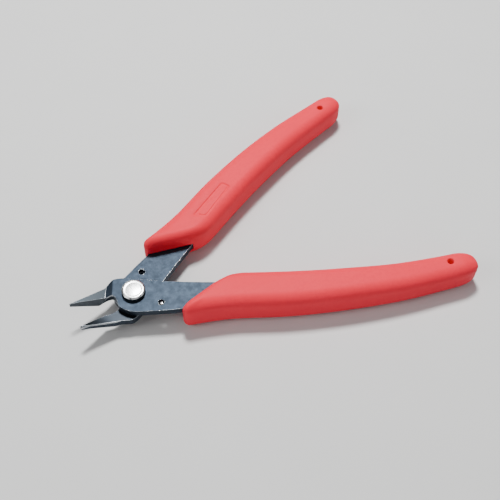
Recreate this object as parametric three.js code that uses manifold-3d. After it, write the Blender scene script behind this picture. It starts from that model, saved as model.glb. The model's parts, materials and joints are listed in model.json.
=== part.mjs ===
// Sprue nippers: two crossing steel blades on one rivet, a hidden wire return spring and two
// moulded grips. Millimetres, +Z up, lying open on its grips, handles towards +X.
//
// Each blade is drawn in its own blade frame: the pivot is at (0, 0), u runs from the pivot
// towards the handle end, and v is positive on the cutting jaw's side and negative on the
// handle's side. The cutting edges run along v = EDGE_V, so closed jaws overlap by twice that.
// The lower blade is the mirror image in plan.
import * as THREE from 'three';
import { mergeVertices } from 'three/addons/utils/BufferGeometryUtils.js';
import Module from 'manifold-3d';

const wasm = await Module();
wasm.setup();

const { degToRad } = THREE.MathUtils;
const at = (u, v) => new THREE.Vector2(u, v);

// Opening and heights.
const OPEN_ANGLE = 25;                       // between the blades at rest; closing takes it to 0
const HALF_OPEN = degToRad(OPEN_ANGLE / 2);
const GRIP_THICK = 12.3;
const MID_Z = GRIP_THICK / 2;                // the sliding plane between the two plates
const PLATE_GAP = 0.15;
const PLATE_THICK = 2.4;
const UPPER_FLOOR = MID_Z + PLATE_GAP / 2;
const UPPER_TOP = UPPER_FLOOR + PLATE_THICK;
const LOWER_TOP = MID_Z - PLATE_GAP / 2;
const LOWER_FLOOR = LOWER_TOP - PLATE_THICK;

// Jaws.
const TIP_U = -20;
const EDGE_V = -0.45;
const EDGE_END_U = -11.1;                    // where the cutting edge meets the throat
const TIP_OUTER = at(TIP_U, 0.25);
const TIP_SHOULDER = at(-17.4, 0.95);
const JAW_ROOT = at(-8.6, 4.25);
const JAW_CORNER = at(-6.2, 6.1);
const JAW_SKEW = degToRad(15.4);             // the folds across the jaws lean by this much
const JAW_FOLD_U = -11.3;                    // where the jaws start to rise
const JAW_RISE = Math.tan(degToRad(21));     // rise of the shearing plane per mm towards the tip
const STEP_START_U = -6.9;
const STEP_END_U = -9.25;
const STEP_DROP = 0.75;
const JAW_TOP_RISE = 0.25;
const LOWER_JAW_RISE = 0.5;                  // rise of the lower jaw's underside, so that it thins
const BEVEL_SLOPE = 2;                       // height of the upper jaw's inner bevel per mm in plan
const BEVEL_END_U = -9.6;
const TIP_FACET_DROP = 0.45;                 // fall of the small top facet at a tip, per mm outward

// Pivot.
const SHANK_R = 2.5;
const BORE_R = 2.58;
const HEAD_R = 3.7;
const HEAD_THICK = 1.75;
const HEAD_CHAMFER = 0.4;
const TAIL_R = 3.3;
const TAIL_THICK = 1.1;
const WASHER_R = 4.1;
const WASHER_THICK = 0.8;
const SEAT_GAP = 0.05;

// Return spring.
const WIRE_R = 0.45;
const COIL_R = 3.5;
const COIL_TURN = degToRad(250);
const POCKET_R = 4.3;
const POCKET_DEPTH = 1.3;
const WIRE_Z = UPPER_FLOOR + POCKET_DEPTH / 2 + 0.03;
const SPRING_HOLE = at(7.45, -6.05);
const SPRING_HOLE_R = 1.05;
const WIRE_END_INSET = 0.35;                 // wire end below the upper blade's face
const ANCHOR_HOLE_R = 0.8;
const ANCHOR_DEPTH = 1.9;

// Grips.
const GRIP_ROUND = 3.7;                      // radius of the rolled edges
const GRIP_NOSE = at(8, -12.49);             // corner of front and outer edge before rounding
const GRIP_SHOULDER = at(30.6, -1.9);         // corner of front and inner edge before rounding
const GRIP_OUTER = [
  at(15, -13.12), at(22, -13.75), at(30, -15.03), at(45, -18.65),
  at(62, -21.45), at(82, -23.33), at(100.5, -23.4),
];
const GRIP_INNER = [at(36.5, -3.6), at(50, -7.0), at(64, -10.0), at(82, -12.9), at(100.5, -14.3)];
const GRIP_END_U = 109.2;
const GRIP_END_ROLL = 6.5;                   // length over which the round end rolls over
const GRIP_END_FLAT = [at(GRIP_END_U, -20), at(GRIP_END_U, -18.5)];
const FRONT_HALF = 3;                        // half the height of the slanted front face
const FRONT_ROLL = 2.5;                      // depth over which the front rolls up to full height
const NOSE_R = 1.8;
const SHOULDER_ROUND = 5;
const TAPER_FROM_U = 60;                     // from here the grip loses height towards its end
const TAPER = 0.1;
const TANG_GAP = 0.3;
const END_HOLE = at(99.7, -18.35);
const END_HOLE_R = 1.05;
const END_HOLE_DEPTH = 5;

// Neck and tang edges of a blade, from the pivot to the tang's end inside the grip.
const NECK_INNER = [
  at(1.5, 4.8), at(11.3, 1.0), at(25.5, -3.5), at(45, -9.0), at(68, -13.6), at(90, -16.0),
];
const NECK_OUTER = [
  at(90, -20.2), at(68, -19.0), at(45, -15.2), at(30, -12.2), at(12.5, -10.0), at(3.5, -8.2),
];

// ---- solids ------------------------------------------------------------------------------

function solidOf(geometry) {
  const bare = geometry.clone();
  bare.deleteAttribute('normal');
  bare.deleteAttribute('uv');
  const merged = mergeVertices(bare, 1e-4);
  const vertProperties = new Float32Array(merged.attributes.position.array);
  const triVerts = new Uint32Array(merged.index.array);
  return new wasm.Manifold(new wasm.Mesh({ numProp: 3, vertProperties, triVerts }));
}

function geometryOf(solid) {
  const mesh = solid.getMesh();
  const geometry = new THREE.BufferGeometry();
  geometry.setAttribute('position', new THREE.BufferAttribute(mesh.vertProperties, 3));
  geometry.setIndex(new THREE.BufferAttribute(mesh.triVerts, 1));
  return geometry;
}

// The same geometry with v reversed, its faces turned to stay outward.
function mirrored(geometry) {
  geometry.scale(1, -1, 1);
  const index = geometry.index.array;
  for (let i = 0; i < index.length; i += 3) {
    [index[i + 1], index[i + 2]] = [index[i + 2], index[i + 1]];
  }
  return geometry;
}

// A plan outline as a slab between two heights.
function slab(points, low, high) {
  const shape = new THREE.Shape(points);
  const geometry = new THREE.ExtrudeGeometry(shape, { depth: high - low, bevelEnabled: false });
  geometry.translate(0, 0, low);
  return solidOf(geometry);
}

function drill(centre, radius, low, high) {
  const geometry = new THREE.CylinderGeometry(radius, radius, high - low, 40);
  geometry.rotateX(Math.PI / 2);
  geometry.translate(centre.x, centre.y, (low + high) / 2);
  return solidOf(geometry);
}

// A box standing on the plane through point with the given outward normal, long along one axis.
function facetCutter(point, normal, along, length) {
  const up = normal.clone().normalize();
  const across = new THREE.Vector3().crossVectors(up, along).normalize();
  const forward = new THREE.Vector3().crossVectors(across, up);
  const reach = 12;
  const geometry = new THREE.BoxGeometry(length, reach, reach);
  geometry.translate(0, 0, reach / 2);
  geometry.applyMatrix4(new THREE.Matrix4().makeBasis(forward, across, up).setPosition(point));
  return solidOf(geometry);
}

function bend(from, corner, to, steps) {
  return new THREE.QuadraticBezierCurve(from, corner, to).getPoints(steps);
}

function spline(points, steps) {
  return new THREE.SplineCurve(points).getPoints(steps);
}

// The arc of a radius that rounds the corner between the ways to two other points.
function cornerArc(from, corner, to, radius, steps) {
  const back = from.clone().sub(corner).normalize();
  const ahead = to.clone().sub(corner).normalize();
  const halfAngle = Math.acos(back.dot(ahead)) / 2;
  const middle = back.clone().add(ahead).normalize();
  const centre = corner.clone().addScaledVector(middle, radius / Math.sin(halfAngle));
  const reach = radius / Math.tan(halfAngle);
  const start = corner.clone().addScaledVector(back, reach).sub(centre);
  const end = corner.clone().addScaledVector(ahead, reach).sub(centre);
  const turn = Math.atan2(start.cross(end), start.dot(end));
  const arc = [];
  for (let i = 0; i <= steps; i += 1) {
    arc.push(start.clone().rotateAround(at(0, 0), turn * i / steps).add(centre));
  }
  return arc;
}

// ---- blades ------------------------------------------------------------------------------

function bladeOutline() {
  const shoulder = bend(JAW_CORNER, at(-4.9, 7.0), at(-1.5, 5.9), 6);
  const tangEnd = bend(NECK_INNER.at(-1), at(92.6, -18.2), NECK_OUTER[0], 6);
  const heel = bend(at(0.4, -7.55), at(-3.6, -6.6), at(-5.5, -3.6), 7);
  const throat = bend(at(-5.6, -2.5), at(-5.5, 0.75), at(-7.5, 0.65), 6);
  const relief = bend(at(-7.5, 0.65), at(-9.4, 0.55), at(EDGE_END_U, EDGE_V), 6);
  return [
    at(TIP_U, EDGE_V), TIP_OUTER, TIP_SHOULDER, JAW_ROOT, ...shoulder,
    ...spline(NECK_INNER, 30), ...tangEnd.slice(1, -1), ...spline(NECK_OUTER, 30),
    ...heel, ...throat, ...relief.slice(1),
  ];
}

// A blade's side outline (u, z) carried across the blade along the lean of the jaw folds.
function acrossBlade(profile) {
  const width = 80;
  const shape = new THREE.Shape(profile);
  const geometry = new THREE.ExtrudeGeometry(shape, { depth: width, bevelEnabled: false });
  geometry.rotateX(Math.PI / 2);
  geometry.translate(0, width / 2, 0);
  const lean = new THREE.Matrix4().makeShear(0, 0, Math.tan(JAW_SKEW), 0, 0, 0);
  geometry.applyMatrix4(lean);
  return solidOf(geometry);
}

const alongFolds = (point) => point.x - Math.tan(JAW_SKEW) * point.y;
const shearRise = (u) => JAW_RISE * (JAW_FOLD_U - u);

function upperProfile() {
  const farU = 140;
  const nearU = -24;
  const stepFloor = UPPER_TOP - STEP_DROP;
  return [
    at(nearU, UPPER_FLOOR + shearRise(nearU)), at(JAW_FOLD_U, UPPER_FLOOR), at(farU, UPPER_FLOOR),
    at(farU, UPPER_TOP), at(STEP_START_U, UPPER_TOP), at(STEP_END_U, stepFloor),
    at(nearU, stepFloor + JAW_TOP_RISE * (STEP_END_U - nearU)),
  ];
}

function lowerProfile() {
  const farU = 140;
  const nearU = -24;
  const nearFloor = LOWER_FLOOR + LOWER_JAW_RISE * (JAW_FOLD_U - nearU);
  return [
    at(nearU, nearFloor), at(JAW_FOLD_U, LOWER_FLOOR), at(farU, LOWER_FLOOR),
    at(farU, LOWER_TOP), at(JAW_FOLD_U, LOWER_TOP), at(nearU, LOWER_TOP + shearRise(nearU)),
  ];
}

// Bevel that brings the upper jaw down to its cutting edge.
function innerBevel() {
  const edge = new THREE.Vector3(1, 0, -JAW_RISE).normalize();
  const upSlope = new THREE.Vector3(0, 1, BEVEL_SLOPE);
  const normal = new THREE.Vector3().crossVectors(edge, upSlope);
  const length = 16;
  const foot = at(BEVEL_END_U, EDGE_V);
  const end = new THREE.Vector3(foot.x, foot.y, UPPER_FLOOR + shearRise(alongFolds(foot)));
  return facetCutter(end.addScaledVector(edge, -length / 2), normal, edge, length);
}

// Level facet that thins the end of a tip, starting at the height its top has at the tip's shoulder.
function tipFacet(height) {
  const start = new THREE.Vector3(TIP_SHOULDER.x, TIP_SHOULDER.y, height);
  return facetCutter(start, new THREE.Vector3(0, TIP_FACET_DROP, 1), new THREE.Vector3(1, 0, 0), 12);
}

// Room for the wire in the underside of the upper plate: a round pocket and a straight arm.
function springPocket() {
  const top = UPPER_FLOOR + POCKET_DEPTH;
  const low = UPPER_FLOOR - 1;
  const touch = coilPoint(0);
  const side = at(touch.x, touch.y).normalize().multiplyScalar(WIRE_R + 0.25);
  const arm = [
    touch.clone().sub(side), touch.clone().add(side),
    SPRING_HOLE.clone().add(side), SPRING_HOLE.clone().sub(side),
  ];
  return drill(at(0, 0), POCKET_R, low, top).add(slab(arm, low, top));
}

function upperBlade() {
  const tipTop = UPPER_TOP - STEP_DROP + JAW_TOP_RISE * (STEP_END_U - alongFolds(TIP_SHOULDER));
  const blank = slab(bladeOutline(), 0, 20).intersect(acrossBlade(upperProfile()));
  const holes = drill(at(0, 0), BORE_R, 0, 20).add(drill(SPRING_HOLE, SPRING_HOLE_R, 0, 20));
  const facet = tipFacet(tipTop);
  return geometryOf(blank.subtract(innerBevel()).subtract(facet).subtract(springPocket()).subtract(holes));
}

function lowerBlade() {
  const anchor = new THREE.Vector2(coilEnd().x, -coilEnd().y).rotateAround(at(0, 0), 2 * HALF_OPEN);
  const blank = slab(bladeOutline(), 0, 20).intersect(acrossBlade(lowerProfile()));
  const blindFloor = LOWER_TOP - ANCHOR_DEPTH;
  const holes = drill(at(0, 0), BORE_R, 0, 20).add(drill(SPRING_HOLE, SPRING_HOLE_R, blindFloor, 20));
  const anchorHole = drill(anchor, ANCHOR_HOLE_R, blindFloor, 20);
  const facet = tipFacet(LOWER_TOP + shearRise(alongFolds(TIP_SHOULDER)));
  return mirrored(geometryOf(blank.subtract(facet).subtract(holes).subtract(anchorHole)));
}

// ---- return spring -----------------------------------------------------------------------

// A point on the coil, in the upper blade's frame, a fraction of the way round from the arm.
function coilPoint(fraction) {
  const reach = SPRING_HOLE.length();
  const touchAngle = SPRING_HOLE.angle() - Math.acos(COIL_R / reach);
  const angle = touchAngle - COIL_TURN * fraction;
  return at(COIL_R * Math.cos(angle), COIL_R * Math.sin(angle));
}

function coilEnd() {
  return coilPoint(1);
}

function returnSpring() {
  const lift = (point, z) => new THREE.Vector3(point.x, point.y, z);
  const touch = coilPoint(0);
  const hookTop = UPPER_TOP - WIRE_END_INSET;
  const along = touch.clone().sub(SPRING_HOLE).normalize();
  const path = [lift(SPRING_HOLE, hookTop), lift(SPRING_HOLE, WIRE_Z + 0.7)];
  path.push(lift(SPRING_HOLE.clone().addScaledVector(along, 0.7), WIRE_Z));
  path.push(lift(SPRING_HOLE.clone().lerp(touch, 0.5), WIRE_Z));
  for (let i = 0; i <= 16; i += 1) {
    path.push(lift(coilPoint(0.96 * i / 16), WIRE_Z));
  }
  path.push(lift(coilEnd(), WIRE_Z - 0.7));
  path.push(lift(coilEnd(), LOWER_TOP - ANCHOR_DEPTH + 0.4));
  const section = new THREE.Shape().absarc(0, 0, WIRE_R, 0, 2 * Math.PI);
  const curve = new THREE.CatmullRomCurve3(path, false, 'centripetal');
  return new THREE.ExtrudeGeometry(section, { steps: 64, curveSegments: 6, extrudePath: curve });
}

// ---- rivet and washer ----------------------------------------------------------------------

function pivotRivet() {
  const headLow = UPPER_TOP + SEAT_GAP;
  const headTop = headLow + HEAD_THICK;
  const washerLow = LOWER_FLOOR - SEAT_GAP - WASHER_THICK;
  const tailTop = washerLow - SEAT_GAP;
  const tailLow = tailTop - TAIL_THICK;
  const profile = [
    at(0, tailLow), at(TAIL_R - 0.9, tailLow), at(TAIL_R - 0.25, tailLow + 0.3), at(TAIL_R, tailLow + 0.7),
    at(TAIL_R, tailTop), at(SHANK_R, tailTop), at(SHANK_R, headLow), at(HEAD_R, headLow),
    at(HEAD_R, headTop - HEAD_CHAMFER), at(HEAD_R - HEAD_CHAMFER, headTop), at(0, headTop),
  ];
  return new THREE.LatheGeometry(profile, 48).rotateX(Math.PI / 2);
}

function rivetWasher() {
  const top = LOWER_FLOOR - SEAT_GAP;
  const low = top - WASHER_THICK;
  const profile = [
    at(BORE_R, low), at(WASHER_R - 0.2, low), at(WASHER_R, low + 0.2), at(WASHER_R, top), at(BORE_R, top),
    at(BORE_R, low),
  ];
  return new THREE.LatheGeometry(profile, 48).rotateX(Math.PI / 2);
}

// ---- grips -------------------------------------------------------------------------------

// The two plan edges of a grip, each running from the slanted front to the round end.
function gripEdges() {
  const front = GRIP_SHOULDER.clone().sub(GRIP_NOSE).normalize();
  const shoulderStart = GRIP_SHOULDER.clone().addScaledVector(front, -SHOULDER_ROUND);
  const outer = spline(GRIP_OUTER, 60);
  const inner = spline(GRIP_INNER, 60);
  const [outerFlat, innerFlat] = GRIP_END_FLAT;
  const outerEnd = GRIP_OUTER.at(-1);
  const innerEnd = GRIP_INNER.at(-1);
  return {
    outer: [
      ...cornerArc(GRIP_SHOULDER, GRIP_NOSE, outer[0], NOSE_R, 16), ...outer,
      ...bend(outerEnd, at(GRIP_END_U - 0.4, outerEnd.y), outerFlat, 16).slice(1),
    ],
    inner: [
      ...bend(shoulderStart, GRIP_SHOULDER, inner[0], 16), ...inner.slice(1),
      ...bend(innerEnd, at(GRIP_END_U - 0.4, innerEnd.y), innerFlat, 16).slice(1),
    ],
  };
}

// Where a plan edge crosses the line through a point, and how steeply it crosses.
function crossing(edge, point, direction) {
  const normal = at(-direction.y, direction.x);
  const side = (p) => normal.dot(p) - normal.dot(point);
  for (let i = 1; i < edge.length; i += 1) {
    const before = side(edge[i - 1]);
    const after = side(edge[i]);
    if (before !== after && before * after <= 0) {
      const place = edge[i - 1].clone().lerp(edge[i], before / (before - after));
      const tangent = edge[i].clone().sub(edge[i - 1]).normalize();
      return { place, steepness: Math.max(Math.abs(tangent.cross(direction)), 0.35) };
    }
  }
  return { place: edge[0], steepness: 0.6 };
}

// One section of a grip between two plan points: a rectangle with rolled corners.
function gripRing(outer, inner, roll) {
  const half = outer.place.distanceTo(inner.place) / 2;
  const centre = outer.place.clone().lerp(inner.place, 0.5);
  const across = inner.place.clone().sub(outer.place).normalize();
  const flat = GRIP_THICK / 2 - GRIP_ROUND;
  const steps = 6;
  const ring = [];
  for (let corner = 0; corner < 4; corner += 1) {
    const towardsInner = corner === 0 || corner === 3;
    const end = towardsInner ? inner : outer;
    const width = Math.min(GRIP_ROUND / end.steepness, half * 0.92);
    for (let i = 0; i <= steps; i += 1) {
      const angle = (corner + i / steps) * Math.PI / 2;
      const shift = (half - width) * (towardsInner ? 1 : -1) + width * Math.cos(angle);
      const rise = flat * (corner < 2 ? 1 : -1) + roll * Math.sin(angle);
      ring.push(new THREE.Vector3(centre.x + across.x * shift, centre.y + across.y * shift, MID_Z + rise));
    }
  }
  return ring;
}

function gripRings() {
  const edges = gripEdges();
  const front = GRIP_SHOULDER.clone().sub(GRIP_NOSE).normalize();
  const inward = at(front.y, -front.x);
  const rings = [];
  const endSteps = 7;
  const bodySteps = 20;
  const frontRoll = FRONT_HALF - (GRIP_THICK / 2 - GRIP_ROUND);
  const point = GRIP_NOSE.clone().addScaledVector(inward, FRONT_ROLL);
  const firstOuter = crossing(edges.outer, point, front);
  const firstInner = crossing(edges.inner, point, front);
  for (let i = 0; i <= endSteps; i += 1) {
    const turn = i / endSteps * Math.PI / 2;
    const depth = GRIP_NOSE.clone().addScaledVector(inward, FRONT_ROLL * (1 - Math.cos(turn)));
    const outer = crossing(edges.outer, depth, front);
    const inner = crossing(edges.inner, depth, front);
    outer.steepness = THREE.MathUtils.lerp(1, firstOuter.steepness, i / endSteps);
    inner.steepness = firstInner.steepness;
    rings.push(gripRing(outer, inner, THREE.MathUtils.lerp(frontRoll, GRIP_ROUND, Math.sin(turn))));
  }
  const lastU = GRIP_END_U - GRIP_END_ROLL;
  for (let i = 1; i < bodySteps; i += 1) {
    const t = i / bodySteps;
    const outerU = THREE.MathUtils.lerp(firstOuter.place.x, lastU, t);
    const innerU = outerU + (firstInner.place.x - firstOuter.place.x) * (1 - t) ** 3;
    const upright = at(0, 1);
    const outerPlace = crossing(edges.outer, at(outerU, 0), upright).place;
    const innerPlace = crossing(edges.inner, at(innerU, 0), upright).place;
    const chord = innerPlace.clone().sub(outerPlace).normalize();
    const outer = crossing(edges.outer, outerPlace, chord);
    const inner = crossing(edges.inner, innerPlace, chord);
    rings.push(gripRing(outer, inner, GRIP_ROUND));
  }
  for (let i = endSteps; i >= 0; i -= 1) {
    const turn = i / endSteps * Math.PI / 2;
    const place = at(GRIP_END_U - GRIP_END_ROLL * (1 - Math.cos(turn)), 0);
    const outer = crossing(edges.outer, place, at(0, 1));
    const inner = crossing(edges.inner, place, at(0, 1));
    outer.steepness = 1;
    inner.steepness = 1;
    if (i === 0) {
      outer.place = GRIP_END_FLAT[0];
      inner.place = GRIP_END_FLAT[1];
    }
    rings.push(gripRing(outer, inner, GRIP_ROUND * Math.sin(turn)));
  }
  for (const point of rings.flat()) {
    point.z *= 1 - TAPER * THREE.MathUtils.smoothstep(point.x, TAPER_FROM_U, END_HOLE.x);
  }
  return rings;
}

// Skin over a row of rings, closed by a fan at each end.
function loft(rings) {
  const count = rings[0].length;
  const points = rings.flat();
  const index = [];
  for (let r = 0; r < rings.length - 1; r += 1) {
    for (let i = 0; i < count; i += 1) {
      const a = r * count + i;
      const b = r * count + (i + 1) % count;
      index.push(a, b, a + count, b, b + count, a + count);
    }
  }
  [rings[0], rings.at(-1)].forEach((ring, isLast) => {
    const base = isLast ? (rings.length - 1) * count : 0;
    const centre = points.length;
    points.push(ring.reduce((sum, p) => sum.add(p), new THREE.Vector3()).divideScalar(count));
    for (let i = 0; i < count; i += 1) {
      const a = base + i;
      const b = base + (i + 1) % count;
      index.push(...(isLast ? [centre, a, b] : [centre, b, a]));
    }
  });
  const geometry = new THREE.BufferGeometry().setFromPoints(points);
  geometry.setIndex(index);
  return geometry;
}

// Slot in a grip that holds its tang.
function tangSlot(low, high) {
  const grown = (points, shift) => points.map((p) => at(p.x, p.y + shift));
  const inner = grown(spline(NECK_INNER, 30), TANG_GAP);
  const outer = grown(spline(NECK_OUTER, 30), -TANG_GAP);
  const end = bend(inner.at(-1), at(93.4, -18.2), outer[0], 6);
  return slab([...inner, ...end.slice(1, -1), ...outer], low - TANG_GAP, high + TANG_GAP);
}

function grip(tangLow, tangHigh) {
  const hole = drill(END_HOLE, END_HOLE_R, GRIP_THICK - END_HOLE_DEPTH, GRIP_THICK + 1);
  return geometryOf(solidOf(loft(gripRings())).subtract(tangSlot(tangLow, tangHigh)).subtract(hole));
}

// ---- assembly ----------------------------------------------------------------------------

const steel = { color: 0x4c545c, roughness: 0.5, metalness: 0.9 };
const bright = { color: 0xd9dad6, roughness: 0.28, metalness: 1 };
const springSteel = { color: 0xb6b8b8, roughness: 0.3, metalness: 1 };
const red = { color: 0xd8323a, roughness: 0.5, metalness: 0 };

function part(name, geometry, look) {
  const mesh = new THREE.Mesh(geometry, new THREE.MeshStandardMaterial(look));
  mesh.name = name;
  return mesh;
}

// Upper blade's side: its handle swings towards -Y, its jaw towards +Y.
const upperSide = new THREE.Group();
upperSide.rotation.z = -HALF_OPEN;
upperSide.add(
  part('upper_blade', upperBlade(), steel),
  part('upper_blade_grip', grip(UPPER_FLOOR, UPPER_TOP), red),
  part('pivot_rivet', pivotRivet(), bright),
  part('rivet_washer', rivetWasher(), bright),
  part('return_spring', returnSpring(), springSteel),
);

const lowerSide = new THREE.Group();
lowerSide.rotation.z = HALF_OPEN;
lowerSide.add(
  part('lower_blade', lowerBlade(), steel),
  part('lower_blade_grip', mirrored(grip(LOWER_FLOOR, LOWER_TOP)), red),
);

// The frame's origin is on the bench, under the middle of the open tool.
const nippers = new THREE.Group();
nippers.add(upperSide, lowerSide);
nippers.updateMatrixWorld(true);
const size = new THREE.Box3().setFromObject(nippers, true);
const middle = size.getCenter(new THREE.Vector3());
nippers.position.set(-middle.x, -middle.y, -size.min.z);

export default nippers;
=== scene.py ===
import json
import math

import bmesh
import bpy
from mathutils import Matrix, Vector


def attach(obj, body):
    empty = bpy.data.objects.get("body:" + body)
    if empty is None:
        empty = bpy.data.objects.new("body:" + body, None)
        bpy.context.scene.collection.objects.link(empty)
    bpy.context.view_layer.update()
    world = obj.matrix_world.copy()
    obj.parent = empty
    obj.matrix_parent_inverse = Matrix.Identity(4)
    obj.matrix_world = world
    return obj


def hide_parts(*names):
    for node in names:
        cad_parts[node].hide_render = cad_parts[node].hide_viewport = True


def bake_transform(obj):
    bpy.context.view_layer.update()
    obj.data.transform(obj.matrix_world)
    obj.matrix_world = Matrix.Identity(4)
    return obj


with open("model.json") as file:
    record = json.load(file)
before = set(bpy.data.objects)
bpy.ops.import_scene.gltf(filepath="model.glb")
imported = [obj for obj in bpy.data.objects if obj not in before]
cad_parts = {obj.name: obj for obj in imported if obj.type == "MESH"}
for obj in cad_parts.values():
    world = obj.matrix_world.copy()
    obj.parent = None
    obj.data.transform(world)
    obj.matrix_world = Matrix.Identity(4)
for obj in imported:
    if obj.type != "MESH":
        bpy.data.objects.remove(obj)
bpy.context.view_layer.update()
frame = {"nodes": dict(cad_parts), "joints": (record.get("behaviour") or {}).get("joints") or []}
MM = 0.001

# ---- the tool's own dimensions, in millimetres in a blade's frame -----------------------------
# A blade's frame: pivot at (0, 0), u towards the handle end, v positive on the jaw's side.

GRIP_THICK = 12.3
MID_Z = GRIP_THICK / 2
HALF_OPEN = math.radians(12.5)
PLATE_GAP = 0.15
PLATE_THICK = 2.4
UPPER_FLOOR = MID_Z + PLATE_GAP / 2
UPPER_TOP = UPPER_FLOOR + PLATE_THICK
LOWER_TOP = MID_Z - PLATE_GAP / 2
LOWER_FLOOR = LOWER_TOP - PLATE_THICK

GRIP_ROUND = 3.7
GRIP_NOSE = (8, -12.49)
GRIP_SHOULDER = (30.6, -1.9)
GRIP_OUTER = [(15, -13.12), (22, -13.75), (30, -15.03), (45, -18.65), (62, -21.45), (82, -23.33)]
GRIP_OUTER.append((100.5, -23.4))
GRIP_INNER = [(36.5, -3.6), (50, -7.0), (64, -10.0), (82, -12.9), (100.5, -14.3)]
GRIP_END_U = 109.2
GRIP_END_ROLL = 6.5
GRIP_END_FLAT = [(GRIP_END_U, -20), (GRIP_END_U, -18.5)]
FRONT_HALF = 3
FRONT_ROLL = 2.5
NOSE_R = 1.8
SHOULDER_ROUND = 5
TAPER_FROM_U = 60
TAPER = 0.1
END_CORNER_BACK = 0.4             # the round end's corners lie this far short of its flat
LEAST_STEEPNESS = 0.35            # a section counts as crossing an edge at least this steeply
LOOSE_STEEPNESS = 0.6             # and this steeply where it misses the edge
WIDEST_ROLL = 0.92                # a rolled corner takes at most this share of half a section
TANG_GAP = 0.3
SLOT_END = (93.4, -18.2)
END_HOLE = (99.7, -18.35)
END_HOLE_R = 1.05
END_HOLE_DEPTH = 5
# Rings of the end hole: how far past END_HOLE_R, and how far above its floor or the grip's top.
END_HOLE_FLOOR = [(-0.5, 0), (-0.1, 0.3)]
END_HOLE_LIP = [(0, -0.4), (0.03, -0.16), (0.12, -0.04), (0.3, 0.04), (0.3, 1)]
PANEL = [(31.7, -9.4), (48.3, -14.1), (49.5, -10.6), (34.8, -5.7)]
PANEL_DEPTH = 0.14
GROOVE_DEPTH = 0.32
PANEL_CORNER_R = 0.8
# Insets from the panel's outline.
PANEL_LIP, PANEL_WALL, PANEL_FOOT = -0.12, 0.05, 0.16
GROOVE_FOOT, GROOVE_BACK, GROOVE_RISE = 0.28, 0.85, 1.0
LIP_DEPTH = 0.05
LIP_RISE = 0.04                   # a lip's widest ring floats just above the grip
CUTTER_PAST = 1
NECK_INNER = [(1.5, 4.8), (11.3, 1.0), (25.5, -3.5), (45, -9.0), (68, -13.6), (90, -16.0)]
NECK_OUTER = [(90, -20.2), (68, -19.0), (45, -15.2), (30, -12.2), (12.5, -10.0), (3.5, -8.2)]

EDGE_FLAT = 0.28                  # width of the stoned flat along the lower jaw's outer edge
EDGE_FLAT_FROM = 5.2              # it lies further than this in front of the pivot
JAW_END = 6.6                     # so do the jaws' ground slopes
SHEAR_FACE_END = 2.65             # and so does the lower jaw's shearing face, whose darker ground tone is partly painted shade
WORN_HIGHLIGHT_EDGE = 0.13                  # width of the rubbed edges, whose bright metal is partly painted highlight
WORN_HIGHLIGHT_EDGE_ANGLE = math.radians(24)
FLAT_ANGLE = math.radians(1.0)    # faces that meet at less are one face
OXIDE, GROUND, WORN_HIGHLIGHT, STONED, BEVEL = range(5)
# Parts of a face's unit normal, which tell the faces of a blade apart.
TIP_FACET_UP = 0.912
FACET_SPREAD = 0.01
WALL_UP = 0.15                    # a wall's is smaller
TOP_UP = 0.9                      # a plate's top and the lower jaw's face have more
LEVEL_UP = 0.995                  # a level face has more
STEEP_ACROSS = 0.6                # sideways; a bevel has more

HEAD_R = 3.7
HEAD_THICK = 1.75
SHANK_R = 2.5
BORE_R = 2.58
HEAD_BREAK = 0.06
SIDE_UP = 0.2                     # upward part of the normal below which a rivet face gets the dark oxide as painted shade
# The head's chamfered rim, as (past HEAD_R, above the top), and its face with a fine turned
# ring, as (radius, above the top).
HEAD_RIM = [(0, -0.45), (-0.03, -0.37), (-0.4, -0.04), (-0.52, 0)]
HEAD_FACE = [(2.61, 0), (2.5, -0.035), (2.4, -0.035), (2.25, -0.005), (0, -0.03)]
TAIL_R = 3.3
TAIL_THICK = 1.1
TAIL_ROUND = 0.75
TAIL_DIMPLE_R = 1.2
TAIL_DIMPLE = 0.06
WASHER_R = 4.1
WASHER_THICK = 0.8
WASHER_ROUND = 0.2
WASHER_RIM_BREAK = 0.04
WASHER_BORE_BREAK = 0.05
SEAT_GAP = 0.05

WIRE_R = 0.45
COIL_R = 3.5
COIL_TURN = math.radians(250)
POCKET_DEPTH = 1.3
WIRE_Z = UPPER_FLOOR + POCKET_DEPTH / 2 + 0.03
SPRING_HOLE = (7.45, -6.05)
WIRE_END_INSET = 0.35
WIRE_BEND = 0.7                   # height and reach of the wire's bends into its holes
WIRE_END_TAPER = 0.82
ANCHOR_DEPTH = 1.9
ANCHOR_CLEAR = 0.4                # the wire stops this far above the anchor hole's floor
COIL_KNOTS = 16
COIL_LEVEL_SHARE = 0.96           # this share of the coil is level

PIVOT = Vector(frame["joints"][0]["pos_m"])


def placed(u, v, z, upper):
    """A blade-frame point in the shared frame, in metres, on the upper or the lower side."""
    side = 1 if upper else -1
    angle = -side * HALF_OPEN
    y = side * v
    x = u * math.cos(angle) - y * math.sin(angle)
    y = u * math.sin(angle) + y * math.cos(angle)
    return Vector((PIVOT.x + x * MM, PIVOT.y + y * MM, z * MM))


# ---- curves ------------------------------------------------------------------------------------

def bend(start, corner, end, steps):
    """Points of the quadratic Bezier from start to end, pulled towards corner."""
    a, b, c = Vector(start), Vector(corner), Vector(end)
    ts = [i / steps for i in range(steps + 1)]
    return [a * (1 - t) ** 2 + b * 2 * t * (1 - t) + c * t * t for t in ts]


def corner_arc(start, corner, end, radius, steps):
    """Points of the arc that rounds the corner between the ways to start and to end."""
    corner = Vector(corner)
    back = (Vector(start) - corner).normalized()
    ahead = (Vector(end) - corner).normalized()
    half_angle = math.acos(back.dot(ahead)) / 2
    centre = corner + (back + ahead).normalized() * radius / math.sin(half_angle)
    reach = radius / math.tan(half_angle)
    first, last = corner + back * reach - centre, corner + ahead * reach - centre
    turn = math.atan2(first.x * last.y - first.y * last.x, first.dot(last))
    turns = [Matrix.Rotation(turn * i / steps, 2) for i in range(steps + 1)]
    return [centre + rotation @ first for rotation in turns]


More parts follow.
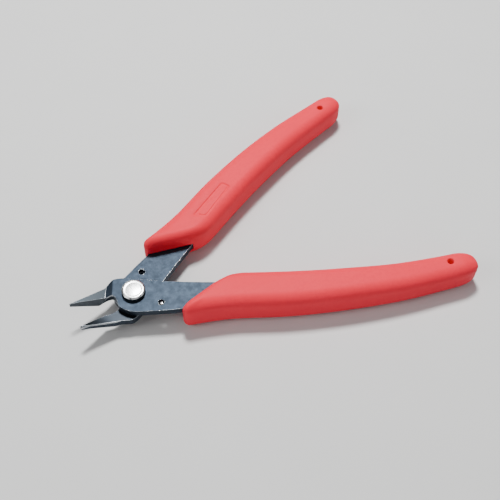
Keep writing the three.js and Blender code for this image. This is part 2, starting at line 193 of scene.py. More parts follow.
def spline(points, steps):
    """Points of the smooth curve through the given ones."""
    pts = [Vector(p) for p in points]
    last = len(pts) - 1
    found = []
    for i in range(steps + 1):
        place = last * i / steps
        k = min(int(place), last - 1)
        t = place - k
        before, a, b, after = pts[max(k - 1, 0)], pts[k], pts[k + 1], pts[min(k + 2, last)]
        if k == 0:
            before = a
        leave, arrive = (b - before) / 2, (after - a) / 2
        found.append(
            (2 * a - 2 * b + leave + arrive) * t ** 3
            + (3 * b - 3 * a - 2 * leave - arrive) * t * t + leave * t + a
        )
    return found


# ---- mesh helpers ------------------------------------------------------------------------------

def new_piece(name, points, faces):
    """A new object in the scene from points in metres and faces."""
    mesh = bpy.data.meshes.new(name)
    mesh.from_pydata(points, [], faces)
    mesh.update()
    piece = bpy.data.objects.new(name, mesh)
    bpy.context.scene.collection.objects.link(piece)
    return piece


def apply_modifiers(piece):
    """Replaces a piece's mesh by what its modifiers make of it."""
    bpy.context.view_layer.update()
    graph = bpy.context.evaluated_depsgraph_get()
    shaped = piece.evaluated_get(graph)
    mesh = bpy.data.meshes.new_from_object(shaped, preserve_all_data_layers=True, depsgraph=graph)
    piece.modifiers.clear()
    piece.data = mesh


def outward(piece):
    """Turns all faces of a closed mesh outward."""
    work = bmesh.new()
    work.from_mesh(piece.data)
    bmesh.ops.recalc_face_normals(work, faces=work.faces)
    work.to_mesh(piece.data)
    work.free()


def shade(piece, angle):
    """Smooth shading, with edges sharp where faces meet at more than angle, in degrees."""
    piece.data.shade_smooth()
    piece.data.set_sharp_from_angle(angle=math.radians(angle))


def cut(piece, cutter):
    """Takes cutter out of piece, for good."""
    modifier = piece.modifiers.new("cut", "BOOLEAN")
    modifier.operation = "DIFFERENCE"
    modifier.solver = "EXACT"
    modifier.object = cutter
    apply_modifiers(piece)
    bpy.data.objects.remove(cutter)


def stack(name, layers, upper):
    """A closed block through plan outlines of equal count, each (outline, height), bottom first."""
    count = len(layers[0][0])
    points = [placed(p[0], p[1], height, upper) for outline, height in layers for p in outline]
    faces = [tuple(range(count)), tuple(range(len(points) - count, len(points)))]
    for layer in range(len(layers) - 1):
        for i in range(count):
            a, b = layer * count + i, layer * count + (i + 1) % count
            faces.append((a, b, b + count, a + count))
    piece = new_piece(name, points, faces)
    outward(piece)
    return piece


def slab(name, outline, low, high, upper):
    """A plan outline in a blade's frame as a closed slab between two heights."""
    return stack(name, [(outline, low), (outline, high)], upper)


def disc_outline(centre, radius, count=48):
    """Plan points of a circle."""
    turns = [2 * math.pi * i / count for i in range(count)]
    return [(centre[0] + radius * math.cos(a), centre[1] + radius * math.sin(a)) for a in turns]


# ---- materials ---------------------------------------------------------------------------------

class Look:
    """A node material with a few shorthands for building it."""

    def __init__(self, name):
        self.material = bpy.data.materials.new(name)
        self.material.use_nodes = True
        self.nodes = self.material.node_tree.nodes
        self.links = self.material.node_tree.links
        self.shader = self.nodes["Principled BSDF"]
        self.coords = self.nodes.new("ShaderNodeTexCoord").outputs["Object"]

    def set(self, **values):
        for name, value in values.items():
            self.shader.inputs[name.replace("_", " ")].default_value = value

    def link(self, output, name):
        self.links.new(output, self.shader.inputs[name])

    def stretched(self, scale, turn=0.0):
        node = self.nodes.new("ShaderNodeMapping")
        node.inputs["Scale"].default_value = scale
        node.inputs["Rotation"].default_value = (0, 0, turn)
        self.links.new(self.coords, node.inputs["Vector"])
        return node.outputs["Vector"]

    def noise(self, scale, detail=4, roughness=0.55, vector=None):
        node = self.nodes.new("ShaderNodeTexNoise")
        node.inputs["Scale"].default_value = scale
        node.inputs["Detail"].default_value = detail
        node.inputs["Roughness"].default_value = roughness
        self.links.new(vector or self.coords, node.inputs["Vector"])
        return node.outputs["Fac"]

    def cells(self, scale):
        node = self.nodes.new("ShaderNodeTexVoronoi")
        node.inputs["Scale"].default_value = scale
        self.links.new(self.coords, node.inputs["Vector"])
        return node.outputs["Distance"]

    def span(self, value, low, high, from_low=0.0, from_high=1.0):
        node = self.nodes.new("ShaderNodeMapRange")
        node.inputs["From Min"].default_value = from_low
        node.inputs["From Max"].default_value = from_high
        node.inputs["To Min"].default_value = low
        node.inputs["To Max"].default_value = high
        self.links.new(value, node.inputs["Value"])
        return node.outputs["Result"]

    def mix(self, amount, one, other):
        node = self.nodes.new("ShaderNodeMix")
        node.data_type = "RGBA"
        self.links.new(amount, node.inputs["Factor"])
        for name, colour in (("A", one), ("B", other)):
            socket = next(s for s in node.inputs if s.name == name and s.type == "RGBA")
            if isinstance(colour, tuple):
                socket.default_value = (*colour, 1)
            else:
                self.links.new(colour, socket)
        return next(s for s in node.outputs if s.type == "RGBA")

    def bump(self, height, depth, after=None):
        node = self.nodes.new("ShaderNodeBump")
        node.inputs["Distance"].default_value = depth
        node.inputs["Strength"].default_value = 1.0
        self.links.new(height, node.inputs["Height"])
        if after:
            self.links.new(after, node.inputs["Normal"])
        return node.outputs["Normal"]


def grip_look():
    """Satin red moulded grip: fine grain, faint flow marks and scuffs."""
    look = Look("grip_red_moulded")
    deep_red, light_red, speck_red = (0.76, 0.019, 0.040), (0.86, 0.029, 0.056), (0.79, 0.023, 0.047)
    tone = look.mix(look.noise(45, detail=3), deep_red, light_red)
    specks = look.span(look.noise(900, detail=3), 0, 1, 0.42, 0.62)
    look.link(look.mix(specks, tone, speck_red), "Base Color")
    grain = look.noise(2600, detail=5, roughness=0.65)
    scuff = look.noise(1, detail=5, vector=look.stretched((60, 700, 400), 0.35))
    sheen = look.span(scuff, 0.54, 0.62, 0.35, 0.7)
    look.link(sheen, "Roughness")
    coarse = look.bump(look.noise(420, detail=3), 0.04 * MM)
    look.link(look.bump(grain, 0.03 * MM, coarse), "Normal")
    look.set(Subsurface_Weight=0.08, Subsurface_Scale=1.5 * MM, Specular_IOR_Level=0.13)
    look.shader.inputs["Subsurface Radius"].default_value = (1.0, 0.25, 0.2)
    return look.material


def oxide_look():
    """Dark oxide steel with a mottled, pitted, fine-grained skin."""
    look = Look("steel_dark_oxide")
    dark_blue, light_blue, pit_black = (0.018, 0.027, 0.040), (0.027, 0.040, 0.059), (0.010, 0.015, 0.022)
    patches = look.span(look.noise(480, detail=6, roughness=0.72), 0, 1, 0.38, 0.66)
    tone = look.mix(patches, dark_blue, light_blue)
    pits = look.span(look.cells(2600), 0, 1, 0.03, 0.28)
    look.link(look.mix(pits, pit_black, tone), "Base Color")
    look.link(look.span(patches, 0.52, 0.45), "Roughness")
    skin = look.bump(look.noise(1500, detail=6, roughness=0.7), 0.04 * MM)
    look.link(look.bump(look.noise(240, detail=3), 0.05 * MM, skin), "Normal")
    look.set(Metallic=0.8, Specular_IOR_Level=0.4)
    return look.material


def ground_look(name, dull, clean):
    """Smooth ground jaw faces with grinding lines across the jaw, between two tones."""
    look = Look(name)
    lines = look.noise(1, detail=4, vector=look.stretched((9000, 350, 350), 0.1))
    look.link(look.mix(lines, dull, clean), "Base Color")
    look.link(look.span(lines, 0.30, 0.40), "Roughness")
    look.link(look.bump(lines, 0.003 * MM), "Normal")
    look.set(Metallic=0.95)
    return look.material


def worn_highlight_look():
    """Edges where the oxide has rubbed off in places, brightened along every edge as painted highlight."""
    look = Look("steel_worn_edge_painted_highlight")
    # bare: bright metal of real wear, brightened further as painted highlight
    thinned, bare = (0.22, 0.25, 0.28), (0.60, 0.63, 0.66)
    rubbed = look.span(look.noise(700, detail=5, roughness=0.7), 0, 1, 0.38, 0.6)
    look.link(look.mix(rubbed, thinned, bare), "Base Color")
    look.link(look.span(rubbed, 0.42, 0.26), "Roughness")
    look.link(look.bump(look.noise(2400, detail=4), 0.01 * MM), "Normal")
    look.set(Metallic=0.95)
    return look.material


def stoned_look():
    """Bare bright steel of the stoned flats along the lower jaw and at the tips."""
    look = Look("steel_stoned")
    line_grey, bare = (0.42, 0.44, 0.46), (0.66, 0.68, 0.70)
    lines = look.noise(1, detail=4, vector=look.stretched((600, 8000, 600), 0.2))
    look.link(look.mix(lines, line_grey, bare), "Base Color")
    look.link(look.span(lines, 0.3, 0.42), "Roughness")
    look.link(look.bump(lines, 0.006 * MM), "Normal")
    look.set(Metallic=1.0)
    return look.material


def rivet_look():
    """Bright satin rivet with turned rings and fine scratches."""
    look = Look("rivet_bright")
    dull_grey, bright_grey = (0.52, 0.53, 0.53), (0.68, 0.69, 0.68)
    offset = look.nodes.new("ShaderNodeVectorMath")
    offset.operation = "SUBTRACT"
    offset.inputs[1].default_value = (PIVOT.x, PIVOT.y, 0)
    look.links.new(look.coords, offset.inputs[0])
    flat = look.nodes.new("ShaderNodeVectorMath")
    flat.operation = "MULTIPLY"
    flat.inputs[1].default_value = (1, 1, 0)
    look.links.new(offset.outputs[0], flat.inputs[0])
    radius = look.nodes.new("ShaderNodeVectorMath")
    radius.operation = "LENGTH"
    look.links.new(flat.outputs[0], radius.inputs[0])
    rings = look.nodes.new("ShaderNodeTexNoise")
    rings.noise_dimensions = "1D"
    rings.inputs["Scale"].default_value = 5200
    rings.inputs["Detail"].default_value = 4
    look.links.new(radius.outputs["Value"], rings.inputs["W"])
    marks = look.noise(1, detail=4, vector=look.stretched((3000, 240, 240), 0.7))
    look.link(look.mix(look.noise(500, detail=4), dull_grey, bright_grey), "Base Color")
    look.link(look.span(marks, 0.22, 0.38, 0.3, 0.7), "Roughness")
    ridges = look.bump(rings.outputs["Fac"], 0.012 * MM)
    look.link(look.bump(marks, 0.006 * MM, ridges), "Normal")
    look.set(Metallic=1.0)
    return look.material


def wire_look():
    """Drawn spring wire with a little dust in its grain."""
    look = Look("spring_wire_drawn")
    dusty, clean = (0.52, 0.53, 0.54), (0.80, 0.80, 0.79)
    grain = look.noise(3800, detail=4)
    look.link(look.mix(grain, dusty, clean), "Base Color")
    look.link(look.span(grain, 0.2, 0.34), "Roughness")
    look.link(look.bump(grain, 0.006 * MM), "Normal")
    look.set(Metallic=1.0)
    return look.material


def floor_look():
    """A plain pale bench."""
    look = Look("floor_pale")
    shade_grey, light_grey = (0.63, 0.63, 0.62), (0.66, 0.66, 0.65)
    look.link(look.mix(look.noise(30, detail=3), shade_grey, light_grey), "Base Color")
    look.set(Roughness=0.75, Specular_IOR_Level=0.25)
    return look.material


# ---- grips -------------------------------------------------------------------------------------

def front_line():
    """A point on the slanted front's line, the line's direction and the way into the grip."""
    direction = (Vector(GRIP_SHOULDER) - Vector(GRIP_NOSE)).normalized()
    return Vector(GRIP_NOSE), direction, Vector((direction.y, -direction.x))


def grip_edges(corner_steps=40, run_steps=160):
    """The grip's outer and inner plan edges, from the slanted front to the round end."""
    nose, direction, _ = front_line()
    shoulder = Vector(GRIP_SHOULDER)
    nose_arc = corner_arc(shoulder, nose, GRIP_OUTER[0], NOSE_R, corner_steps)
    shoulder_start = shoulder - direction * SHOULDER_ROUND
    shoulder_arc = bend(shoulder_start, shoulder, GRIP_INNER[0], corner_steps)[:-1]
    edges = []
    for arc, points, flat in (
        (nose_arc, GRIP_OUTER, GRIP_END_FLAT[0]),
        (shoulder_arc, GRIP_INNER, GRIP_END_FLAT[1]),
    ):
        corner = (GRIP_END_U - END_CORNER_BACK, points[-1][1])
        end = bend(points[-1], corner, flat, corner_steps)
        edges.append(arc + spline(points, run_steps) + end[1:])
    return edges


def crossing(edge, point, direction):
    """Where an edge crosses the line through a point, and how steeply."""
    normal = Vector((-direction.y, direction.x))
    level = normal.dot(point)
    for a, b in zip(edge, edge[1:]):
        before, after = normal.dot(a) - level, normal.dot(b) - level
        if before != after and before * after <= 0:
            tangent = (b - a).normalized()
            steepness = abs(tangent.x * direction.y - tangent.y * direction.x)
            return a.lerp(b, before / (before - after)), max(steepness, LEAST_STEEPNESS)
    return edge[0].copy(), LOOSE_STEEPNESS


def height_at(u):
    """The grip's height at u as a share of its full height; it tapers off towards the end."""
    t = min(max((u - TAPER_FROM_U) / (END_HOLE[0] - TAPER_FROM_U), 0), 1)
    return 1 - TAPER * t * t * (3 - 2 * t)


def grip_ring(outer, inner, roll, steps=10):
    """One upright section of the grip between two plan points, with rolled corners."""
    half = (inner[0] - outer[0]).length / 2
    centre = (inner[0] + outer[0]) / 2
    across = (inner[0] - outer[0]).normalized()
    flat = GRIP_THICK / 2 - GRIP_ROUND
    ring = []
    for corner in range(4):
        towards_inner = corner in (0, 3)
        width = min(GRIP_ROUND / (inner if towards_inner else outer)[1], half * WIDEST_ROLL)
        for i in range(steps + 1):
            angle = (corner + i / steps) * math.pi / 2
            shift = (half - width) * (1 if towards_inner else -1) + width * math.cos(angle)
            rise = flat * (1 if corner < 2 else -1) + roll * math.sin(angle)
            place = centre + across * shift
            ring.append((place.x, place.y, MID_Z + rise))
    return ring


def grip_rings(end_steps=16, body_steps=90):
    """All sections of a grip: slanted ones at the front, upright ones at the end."""
    outer_edge, inner_edge = grip_edges()
    nose, direction, inward = front_line()
    upright = Vector((0, 1))
    front_roll = FRONT_HALF - (GRIP_THICK / 2 - GRIP_ROUND)
    behind = nose + inward * FRONT_ROLL
    first_outer, outer_steepness = crossing(outer_edge, behind, direction)
    first_inner, inner_steepness = crossing(inner_edge, behind, direction)
    rings = []
    for i in range(end_steps + 1):
        turn = i / end_steps * math.pi / 2
        point = nose + inward * FRONT_ROLL * (1 - math.cos(turn))
        outer = crossing(outer_edge, point, direction)[0]
        inner = crossing(inner_edge, point, direction)[0]
        steepness = 1 + (outer_steepness - 1) * i / end_steps
        roll = front_roll + (GRIP_ROUND - front_roll) * math.sin(turn)
        rings.append(grip_ring((outer, steepness), (inner, inner_steepness), roll))
    last_u = GRIP_END_U - GRIP_END_ROLL
    for i in range(1, body_steps):
        t = i / body_steps
        outer_u = first_outer.x + (last_u - first_outer.x) * t
        inner_u = outer_u + (first_inner.x - first_outer.x) * (1 - t) ** 3
        outer_place = crossing(outer_edge, Vector((outer_u, 0)), upright)[0]
        inner_place = crossing(inner_edge, Vector((inner_u, 0)), upright)[0]
        chord = (inner_place - outer_place).normalized()
        outer = crossing(outer_edge, outer_place, chord)
        inner = crossing(inner_edge, inner_place, chord)
        rings.append(grip_ring(outer, inner, GRIP_ROUND))
    for i in range(end_steps, -1, -1):
        turn = i / end_steps * math.pi / 2
        place = Vector((GRIP_END_U - GRIP_END_ROLL * (1 - math.cos(turn)), 0))
        outer = crossing(outer_edge, place, upright)[0] if i else Vector(GRIP_END_FLAT[0])
        inner = crossing(inner_edge, place, upright)[0] if i else Vector(GRIP_END_FLAT[1])
        rings.append(grip_ring((outer, 1.0), (inner, 1.0), GRIP_ROUND * math.sin(turn)))
    return [[(u, v, z * height_at(u)) for u, v, z in ring] for ring in rings]


def grip_body(name, upper):
    """The grip's outer skin, closed at both ends."""
    rings = grip_rings()
    count = len(rings[0])
    points = [placed(*p, upper) for ring in rings for p in ring]
    faces = []
    for r in range(len(rings) - 1):
        for i in range(count):
            a, b = r * count + i, r * count + (i + 1) % count
            faces.append((a, b, b + count, a + count))
    faces.append(tuple(range(count)))
    faces.append(tuple(range(len(points) - count, len(points))))
    piece = new_piece(name, points, faces)
    outward(piece)
    return piece


def tang_slot(low, high, upper, run_steps=60, end_steps=8):
    """Room in a grip for the tang that lies between two heights."""
    inner = [(p.x, p.y + TANG_GAP) for p in spline(NECK_INNER, run_steps)]
    outer = [(p.x, p.y - TANG_GAP) for p in spline(NECK_OUTER, run_steps)]
    end = bend(inner[-1], SLOT_END, outer[0], end_steps)
    outline = inner + [tuple(p) for p in end[1:-1]] + outer
    return slab("slot", outline, low - TANG_GAP, high + TANG_GAP, upper)


def end_hole(upper):
    """The small blind hole near the grip's end, with a softened lip."""
    floor, top = GRIP_THICK - END_HOLE_DEPTH, GRIP_THICK * height_at(END_HOLE[0])
    layers = [(END_HOLE_R + wider, floor + rise) for wider, rise in END_HOLE_FLOOR]
    layers += [(END_HOLE_R + wider, top + rise) for wider, rise in END_HOLE_LIP]
    return stack("hole", [(disc_outline(END_HOLE, r), z) for r, z in layers], upper)


def panel_outline(inset, steps=8):
    """The moulded panel's rounded outline, drawn in by an inset."""
    corners = [Vector(c) for c in PANEL]
    count = len(corners)
    moved = []
    for i, corner in enumerate(corners):
        back = (corners[i - 1] - corner).normalized()
        ahead = (corners[(i + 1) % count] - corner).normalized()
        reach = inset / abs(back.x * ahead.y - back.y * ahead.x)
        moved.append((corner + (back + ahead) * reach, back, ahead))
    outline = []
    for corner, back, ahead in moved:
        start, end = corner + back * PANEL_CORNER_R, corner + ahead * PANEL_CORNER_R
        outline += bend(start, corner, end, steps)
    return outline


def panel_cutters(upper):
    """A shallow panel floor, and a finer groove that runs round it."""
    top = GRIP_THICK
    floor, groove_floor = top - PANEL_DEPTH, top - GROOVE_DEPTH
    lip, back, rise = (panel_outline(inset) for inset in (PANEL_LIP, GROOVE_BACK, GROOVE_RISE))
    wall = [(panel_outline(PANEL_FOOT), floor), (panel_outline(PANEL_WALL), top - LIP_DEPTH)]
    wall += [(lip, top + LIP_RISE), (lip, top + CUTTER_PAST)]
    groove = stack("groove", [(panel_outline(GROOVE_FOOT), groove_floor), *wall[1:]], upper)
    inner = [(back, top - CUTTER_PAST), (back, groove_floor), (rise, floor), (rise, top + 2 * CUTTER_PAST)]
    cut(groove, stack("inner", inner, upper))
    return [stack("panel", wall, upper), groove]


def make_grip(name, node, body, tang, upper, look):
    """A moulded grip with its tang's slot and end hole, and a framed panel on the lower one."""
    piece = grip_body(name, upper)
    cut(piece, tang_slot(*tang, upper))
    cut(piece, end_hole(upper))
    if not upper:
        for cutter in panel_cutters(upper):
            cut(piece, cutter)
    shade(piece, angle=40)
    piece.data.materials.clear()
    piece.data.materials.append(look)
    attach(piece, body)
    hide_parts(node)


# ---- blades ------------------------------------------------------------------------------------

def break_outer_edge(work):
    """Stones a narrow flat along the outer top edge of the jaw that opens towards -Y."""
    found = []
    for edge in work.edges:
        near = all(v.co.x < PIVOT.x - EDGE_FLAT_FROM * MM for v in edge.verts)
        normals = sorted((face.normal for face in edge.link_faces), key=lambda n: n.z)
        if near and len(normals) == 2 and normals[1].z > TOP_UP and abs(normals[0].z) < WALL_UP:
            if normals[0].y < -STEEP_ACROSS:
                found.append(edge)
    if found:
        bmesh.ops.bevel(
            work, geom=found, offset=EDGE_FLAT * MM, offset_type="OFFSET", segments=1,
            profile=0.5, affect="EDGES", clamp_overlap=True, material=STONED,
        )


def part_shear_face(work):
    """Splits the lower plate's top where its ground shearing face ends, under the upper plate; the darker
    tone there is painted shade of the upper plate.
    """
    place = PIVOT - Vector((SHEAR_FACE_END * MM, 0, 0))
    geometry = work.verts[:] + work.edges[:] + work.faces[:]
    bmesh.ops.bisect_plane(work, geom=geometry, plane_co=place, plane_no=(1, 0, 0))


def face_look(face, shearing):
    """Which of a blade's looks a face gets; shearing is true on the blade with the flat jaw."""
    x = face.calc_center_median().x
    if abs(face.normal.z - TIP_FACET_UP) < FACET_SPREAD or face.material_index == STONED:
        return STONED
    # the lower jaw's shearing face gets a darker ground tone: real grinding, with painted shade
    if shearing and face.normal.z > TOP_UP and x < PIVOT.x - SHEAR_FACE_END * MM:
        return GROUND
    if WALL_UP < abs(face.normal.z) < LEVEL_UP and x < PIVOT.x - JAW_END * MM:
        # steep bevels get a lighter ground tone, which is painted reflection
        return BEVEL if abs(face.normal.y) > STEEP_ACROSS else GROUND
    return OXIDE


def make_blade(name, node, body, looks):
    """The CAD blade's shape with its edges broken, its jaw ground with painted shade and painted
    reflection in its tones, and its edges worn with painted highlight.
    """
    source = frame["nodes"][node]
    piece = bpy.data.objects.new(name, source.data.copy())
    bpy.context.scene.collection.objects.link(piece)
    piece.data.materials.clear()
    for look in looks:
        piece.data.materials.append(look)
    work = bmesh.new()
    work.from_mesh(piece.data)
    bmesh.ops.remove_doubles(work, verts=work.verts, dist=0.002 * MM)
    bmesh.ops.dissolve_limit(work, angle_limit=FLAT_ANGLE, verts=work.verts, edges=work.edges)
    break_outer_edge(work)
    shearing = node == "lower_blade"
    if shearing:
        part_shear_face(work)
    for face in work.faces:
        face.material_index = face_look(face, shearing)
    work.to_mesh(piece.data)
    work.free()
    piece.data.shade_smooth()
    edges = piece.modifiers.new("edges", "BEVEL")
    edges.width = WORN_HIGHLIGHT_EDGE * MM
    edges.segments = 3
    edges.limit_method = "ANGLE"
    edges.angle_limit = WORN_HIGHLIGHT_EDGE_ANGLE
    # the broken edges get the worn look: real wear with painted highlight
    edges.material = WORN_HIGHLIGHT
    weighted = piece.modifiers.new("normals", "WEIGHTED_NORMAL")
    weighted.weight = 100
    apply_modifiers(piece)
    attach(piece, body)
    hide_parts(node)


# ---- turned pieces and wire --------------------------------------------------------------------

def turned(name, profile, count=128):
    """A profile of (radius, height) turned about the pivot; one that starts off the axis is closed."""
    points = []
    for radius, height in profile:
        for i in range(count):
            a = 2 * math.pi * i / count
            x, y = radius * math.cos(a), radius * math.sin(a)
            points.append((PIVOT.x + x * MM, PIVOT.y + y * MM, height * MM))
    faces = []
    rows = len(profile)
    closed = profile[0][0] > 0
    for r in range(rows if closed else rows - 1):
        for i in range(count):
            j = (i + 1) % count
            a, b = r * count, (r + 1) % rows * count
            faces.append((a + i, a + j, b + j, b + i))
    piece = new_piece(name, points, faces)
    work = bmesh.new()
    work.from_mesh(piece.data)
    bmesh.ops.remove_doubles(work, verts=work.verts, dist=0.0001 * MM)
    bmesh.ops.recalc_face_normals(work, faces=work.faces)
    work.to_mesh(piece.data)
    work.free()
    return piece


def rounded(corner_r, corner_z, radius, start, stop, steps=5):
    """Points of a corner arc, start and stop in degrees."""
    turns = [math.radians(start + (stop - start) * i / steps) for i in range(steps + 1)]
    return [(corner_r + radius * math.cos(a), corner_z + radius * math.sin(a)) for a in turns]


def make_rivet(look, painted_shade_side_look):
    """The rivet, bright on its faces and given the dark oxide round the sides of its heads as painted
    shade.
    """
    head_low = UPPER_TOP + SEAT_GAP
    head_top = head_low + HEAD_THICK
    washer_low = LOWER_FLOOR - SEAT_GAP - WASHER_THICK
    tail_top = washer_low - SEAT_GAP
    tail_low = tail_top - TAIL_THICK
    profile = [(0, tail_low + TAIL_DIMPLE), (TAIL_DIMPLE_R, tail_low)]
    profile += rounded(TAIL_R - TAIL_ROUND, tail_low + TAIL_ROUND, TAIL_ROUND, -90, 0)
    profile += [(TAIL_R, tail_top), (SHANK_R, tail_top), (SHANK_R, head_low)]
    profile += [(HEAD_R - HEAD_BREAK, head_low), (HEAD_R, head_low + HEAD_BREAK)]
    profile += [(HEAD_R + wider, head_top + rise) for wider, rise in HEAD_RIM]
    profile += [(radius, head_top + rise) for radius, rise in HEAD_FACE]
    piece = turned("rivet", profile)
    shade(piece, angle=25)
    piece.data.materials.append(look)
    piece.data.materials.append(painted_shade_side_look)
    # the sides get the dark oxide: painted shade
    for face in piece.data.polygons:
        face.material_index = 1 if abs(face.normal.z) < SIDE_UP else 0
    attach(piece, "upper_half")
    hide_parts("pivot_rivet")


def make_washer(look):
    """The washer under the rivet's tail, rounded on its outer lower edge."""
    top = LOWER_FLOOR - SEAT_GAP
    low = top - WASHER_THICK
    bore_r = BORE_R + WASHER_BORE_BREAK
    round_r = WASHER_R - WASHER_ROUND
    profile = [(BORE_R, low + WASHER_BORE_BREAK), (bore_r, low), (round_r - WASHER_BORE_BREAK, low)]
    profile += rounded(round_r, low + WASHER_ROUND, WASHER_ROUND, -90, 0, 4)
    profile += [(WASHER_R, top - WASHER_RIM_BREAK), (WASHER_R - WASHER_RIM_BREAK, top)]
    profile += [(bore_r, top), (BORE_R, top - WASHER_BORE_BREAK)]
    piece = turned("washer", profile)
    shade(piece, angle=25)
    piece.data.materials.append(look)
    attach(piece, "upper_half")
    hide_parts("rivet_washer")


def coil_point(fraction):
    """A point on the spring's coil in the upper blade's frame, from the arm round to its end."""
    hole = Vector(SPRING_HOLE)
    touch = math.atan2(hole.y, hole.x) - math.acos(COIL_R / hole.length)
    angle = touch - COIL_TURN * fraction
    return Vector((COIL_R * math.cos(angle), COIL_R * math.sin(angle)))


def wire_path(steps=260):
    """The wire's centre line: up in its hole, along the arm, round the coil, down to its anchor."""
    hole, touch, coil_end = Vector(SPRING_HOLE), coil_point(0), coil_point(1)
    along = (touch - hole).normalized()
    hook_top = UPPER_TOP - WIRE_END_INSET
    anchor_low = LOWER_TOP - ANCHOR_DEPTH + ANCHOR_CLEAR
    level = COIL_LEVEL_SHARE
    knots = [(*hole, hook_top), (*hole, WIRE_Z + WIRE_BEND), (*(hole + along * WIRE_BEND), WIRE_Z)]
    knots.append((*hole.lerp(touch, 0.5), WIRE_Z))
    knots += [(*coil_point(level * i / COIL_KNOTS), WIRE_Z) for i in range(COIL_KNOTS + 1)]
    knots += [(*coil_end, WIRE_Z - WIRE_BEND), (*coil_end, anchor_low)]
    return spline([Vector(k) for k in knots], steps)


def make_spring(look, sides=20):
    """The return spring's round wire, its ends broken to a smaller radius."""
    path = wire_path()
    last = len(path) - 1
    normal = Vector((1, 0, 0))
    points, faces = [], []
    for i, place in enumerate(path):
        ahead = (path[min(i + 1, last)] - path[max(i - 1, 0)]).normalized()
        normal = (normal - ahead * normal.dot(ahead)).normalized()
        side = ahead.cross(normal)
        radius = WIRE_R * (WIRE_END_TAPER if i in (0, last) else 1)
        for k in range(sides):
            a = 2 * math.pi * k / sides
            points.append(placed(*(place + (normal * math.cos(a) + side * math.sin(a)) * radius), True))
    for i in range(last):
        for k in range(sides):
            a, b = i * sides + k, i * sides + (k + 1) % sides
            faces.append((a, b, b + sides, a + sides))
    faces.append(tuple(range(sides)))
    faces.append(tuple(range(len(points) - sides, len(points))))
    piece = new_piece("spring", points, faces)
    outward(piece)
    shade(piece, angle=50)
    piece.data.materials.append(look)
    return piece


# ---- stage -------------------------------------------------------------------------------------

VIEW_AZIMUTH = math.radians(-30.1)
VIEW_ELEVATION = math.radians(54.09)
VIEW_ROLL = math.radians(1.15)
VIEW_DISTANCE = 0.2777
VIEW_TARGET = Vector((0.00158, 0.00215, 0))
FOCAL_MM = 59.0

# Soft square lamps: name, bearing from the camera's azimuth and elevation in degrees, then
# distance and size in metres, and power.
LAMPS = [
    ("key", -174, 66, 0.7, 0.12, 8.2),
    ("left", -66, 38, 0.8, 0.35, 1.9),
    ("front", 14, 28, 0.8, 0.5, 1.0),
    ("right", 85, 36, 0.8, 0.35, 0.4),
]
FLOOR_HALF = 1.2
SKY_COLOUR = (0.9, 0.93, 1.0, 1)
SKY_FROM, SKY_TO = 0.25, 0.8      # upward parts of a direction between which the sky brightens
SKY_LOW, SKY_HIGH = 0.03, 0.26    # from this strength to this


def toward(azimuth, elevation):
    """Unit vector from the object to a viewer or lamp whose view has that azimuth and elevation."""
    flat = Vector((math.sin(azimuth), -math.cos(azimuth), 0)) * math.cos(elevation)
    return flat + Vector((0, 0, math.sin(elevation)))


def make_camera():
    """The camera, in front of the tool, to the jaws' side and well above the bench."""
    camera = bpy.data.objects.new("camera", bpy.data.cameras.new("camera"))
    bpy.context.scene.collection.objects.link(camera)
    camera.data.lens = FOCAL_MM
    camera.data.clip_start = 0.01
    back = toward(VIEW_AZIMUTH, VIEW_ELEVATION)
    camera.location = VIEW_TARGET + back * VIEW_DISTANCE
    aim = back.to_track_quat("Z", "Y").to_matrix().to_4x4()
    camera.rotation_euler = (aim @ Matrix.Rotation(VIEW_ROLL, 4, "Z")).to_euler()
    bpy.context.scene.camera = camera


def add_lamp(name, azimuth, elevation, distance, size, power):
    """A soft square lamp placed by its bearing from the camera's azimuth, in degrees."""
    lamp = bpy.data.objects.new(name, bpy.data.lights.new(name, "AREA"))
    bpy.context.scene.collection.objects.link(lamp)
    lamp.data.size = size
    lamp.data.energy = power
    direction = toward(VIEW_AZIMUTH + math.radians(azimuth), math.radians(elevation))
    lamp.location = direction * distance
    lamp.rotation_euler = direction.to_track_quat("Z", "Y").to_euler()


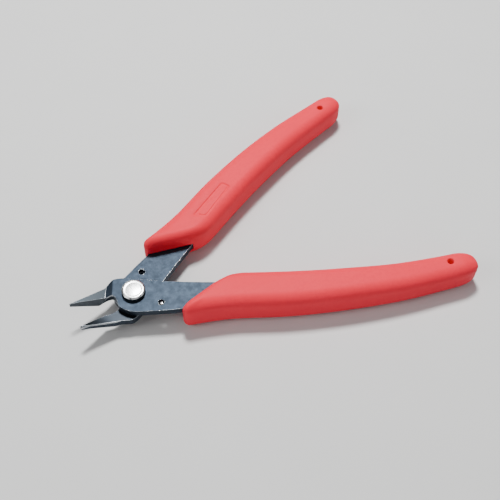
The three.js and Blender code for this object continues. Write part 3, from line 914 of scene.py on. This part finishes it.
def make_stage():
    """Floor, lamps and a sky that is brighter overhead."""
    half = FLOOR_HALF
    corners = [(-half, -half, 0), (half, -half, 0), (half, half, 0), (-half, half, 0)]
    floor = new_piece("floor", corners, [(0, 1, 2, 3)])
    floor.data.materials.append(floor_look())
    for lamp in LAMPS:
        add_lamp(*lamp)
    world = bpy.data.worlds.new("studio")
    bpy.context.scene.world = world
    world.use_nodes = True
    nodes, links = world.node_tree.nodes, world.node_tree.links
    nodes["Background"].inputs["Color"].default_value = SKY_COLOUR
    height = nodes.new("ShaderNodeSeparateXYZ")
    links.new(nodes.new("ShaderNodeTexCoord").outputs["Generated"], height.inputs[0])
    glow = nodes.new("ShaderNodeMapRange")
    glow.inputs["From Min"].default_value = SKY_FROM
    glow.inputs["From Max"].default_value = SKY_TO
    glow.inputs["To Min"].default_value = SKY_LOW
    glow.inputs["To Max"].default_value = SKY_HIGH
    links.new(height.outputs["Z"], glow.inputs["Value"])
    links.new(glow.outputs["Result"], nodes["Background"].inputs["Strength"])


# ---- assembly ----------------------------------------------------------------------------------

make_camera()
make_stage()

oxide, worn_highlight, stoned = oxide_look(), worn_highlight_look(), stoned_look()
top_ground = ground_look("steel_ground_top", (0.018, 0.023, 0.028), (0.042, 0.050, 0.057))
# darker copy of the ground steel: painted shade on the lower jaw's shearing face
shear_ground_painted_shade = ground_look("steel_ground_shear_painted_shade", (0.010, 0.013, 0.017), (0.024, 0.029, 0.035))
# lighter copy of the ground steel: painted reflection on the jaws' bevels
bevel_ground_painted_reflection = ground_look("steel_ground_bevel_painted_reflection", (0.09, 0.105, 0.12), (0.17, 0.19, 0.21))
upper_looks = [oxide, top_ground, worn_highlight, stoned, bevel_ground_painted_reflection]
lower_looks = [oxide, shear_ground_painted_shade, worn_highlight, stoned, bevel_ground_painted_reflection]
make_blade("upper_blade_steel", "upper_blade", "upper_half", upper_looks)
make_blade("lower_blade_steel", "lower_blade", "lower_half", lower_looks)

red = grip_look()
make_grip("upper_grip", "upper_blade_grip", "upper_half", (UPPER_FLOOR, UPPER_TOP), True, red)
make_grip("lower_grip", "lower_blade_grip", "lower_half", (LOWER_FLOOR, LOWER_TOP), False, red)

bright = rivet_look()
make_rivet(bright, oxide)
make_washer(bright)

spring = make_spring(wire_look())
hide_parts("return_spring")
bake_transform(spring)
